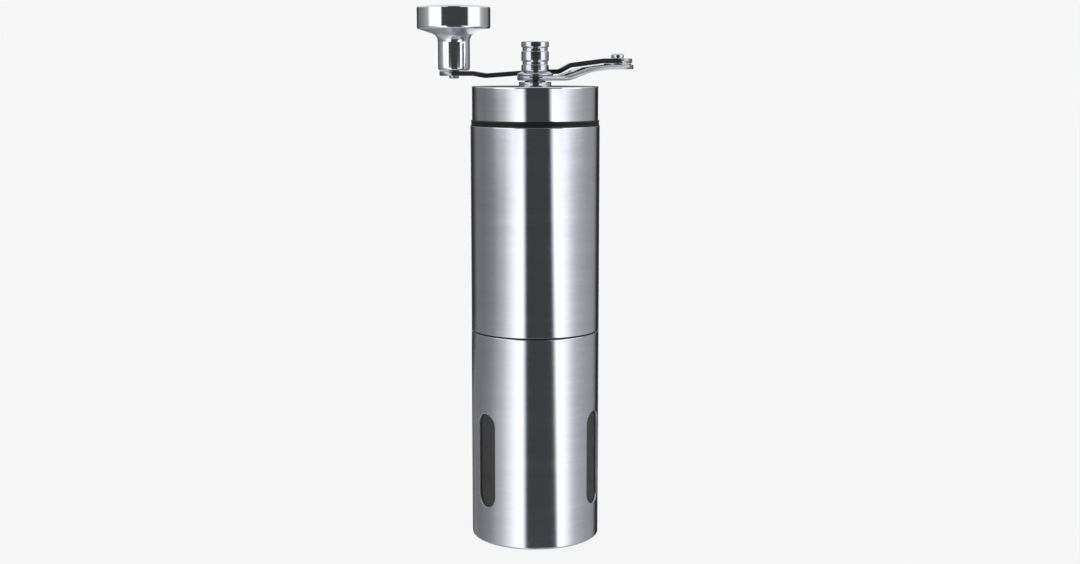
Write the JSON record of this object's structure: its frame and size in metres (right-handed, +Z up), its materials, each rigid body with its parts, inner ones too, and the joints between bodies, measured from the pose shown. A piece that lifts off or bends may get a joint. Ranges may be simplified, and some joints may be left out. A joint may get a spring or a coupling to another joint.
{
  "type": "hand crank coffee grinder",
  "caption": "Slim round hand coffee grinder: steel hopper over a windowed grounds chamber, conical burrs inside, and a folding crank with a mushroom knob on the cap.",
  "frame": {"origin": "centre of the flat base", "axes": "+Z up along the shaft, front towards -Y, the folded crank's rivet towards +X"},
  "size_m": [0.0814, 0.0513, 0.1993],
  "materials": {
    "brushed_casing": "stainless steel, fine brushing round the body",
    "turned_steel": "turned and polished stainless steel",
    "arm_steel": "stamped stainless strip, satin faces",
    "spring_steel": "drawn spring steel",
    "black_moulding": "fine moulded texture",
    "smoked_cup": "clear smoked plastic",
    "burr_ceramic": "unglazed white ceramic",
    "bearing_bronze": "sintered bearing bronze",
    "seal_rubber": "soft moulded silicone",
    "sleeve_nylon": "natural nylon"
  },
  "bodies": {
    "chamber": {"chamber_shell": "brushed_casing", "chamber_cup": "smoked_cup"},
    "hopper": {"hopper_shell": "brushed_casing", "hopper_liner": "black_moulding", "top_bracket": "black_moulding", "upper_bush": "bearing_bronze", "burr_carrier": "black_moulding", "neck_seal": "seal_rubber", "lower_bush": "bearing_bronze", "outer_burr": "burr_ceramic", "burr_retainer": "black_moulding"},
    "cap": {"cap_shell": "brushed_casing", "cap_plug": "black_moulding", "cap_ferrule": "turned_steel"},
    "shaft": {"drive_shaft": "turned_steel", "shaft_clip": "spring_steel", "thrust_washer": "spring_steel", "burr_spring": "spring_steel"},
    "burr": {"inner_burr": "burr_ceramic", "click_plate": "black_moulding"},
    "adjuster": {"adjuster_wheel": "black_moulding", "adjuster_insert": "bearing_bronze"},
    "crank": {"hub_arm": "arm_steel", "crank_hub": "turned_steel", "hub_washer": "turned_steel", "fold_rivet": "turned_steel", "fold_washer": "spring_steel"},
    "knob_arm": {"knob_arm": "arm_steel", "knob_pin": "turned_steel"},
    "knob": {"knob": "turned_steel", "knob_sleeve": "sleeve_nylon"}
  },
  "joints": [
    {"name": "hopper_lift", "type": "slide", "parent": "chamber", "child": "hopper", "axis": [0, 0, 1], "range_m": [0, 0.03]},
    {"name": "cap_lift", "type": "slide", "parent": "hopper", "child": "cap", "axis": [0, 0, 1], "range_m": [0, 0.025]},
    {"name": "crank_spin", "type": "hinge", "parent": "cap", "child": "crank", "pos_m": [0, 0, 0.1715], "axis": [0, 0, 1], "continuous": true},
    {"name": "crank_fold", "type": "hinge", "parent": "crank", "child": "knob_arm", "pos_m": [0.031, 0.01348, 0.178], "axis": [0, 0, 1], "range_deg": [-156.5, 0]},
    {"name": "knob_spin", "type": "hinge", "parent": "knob_arm", "child": "knob", "pos_m": [-0.0306, 0.01348, 0.1751], "axis": [0, 0, 1], "continuous": true},
    {"name": "shaft_spin", "type": "hinge", "parent": "hopper", "child": "shaft", "pos_m": [0, 0, 0.1], "axis": [0, 0, 1], "continuous": true},
    {"name": "burr_shift", "type": "slide", "parent": "shaft", "child": "burr", "axis": [0, 0, -1], "range_m": [0, 0.0012], "deforming": ["burr_spring"]},
    {"name": "adjuster_turn", "type": "hinge", "parent": "burr", "child": "adjuster", "pos_m": [0, 0, 0.06], "axis": [0, 0, -1], "range_deg": [0, 540]}
  ],
  "couplings": [
    {"joint": "shaft_spin", "follows": "crank_spin", "ratio": 1},
    {"joint": "adjuster_turn", "follows": "burr_shift", "rad_per_m": 7854}
  ]
}
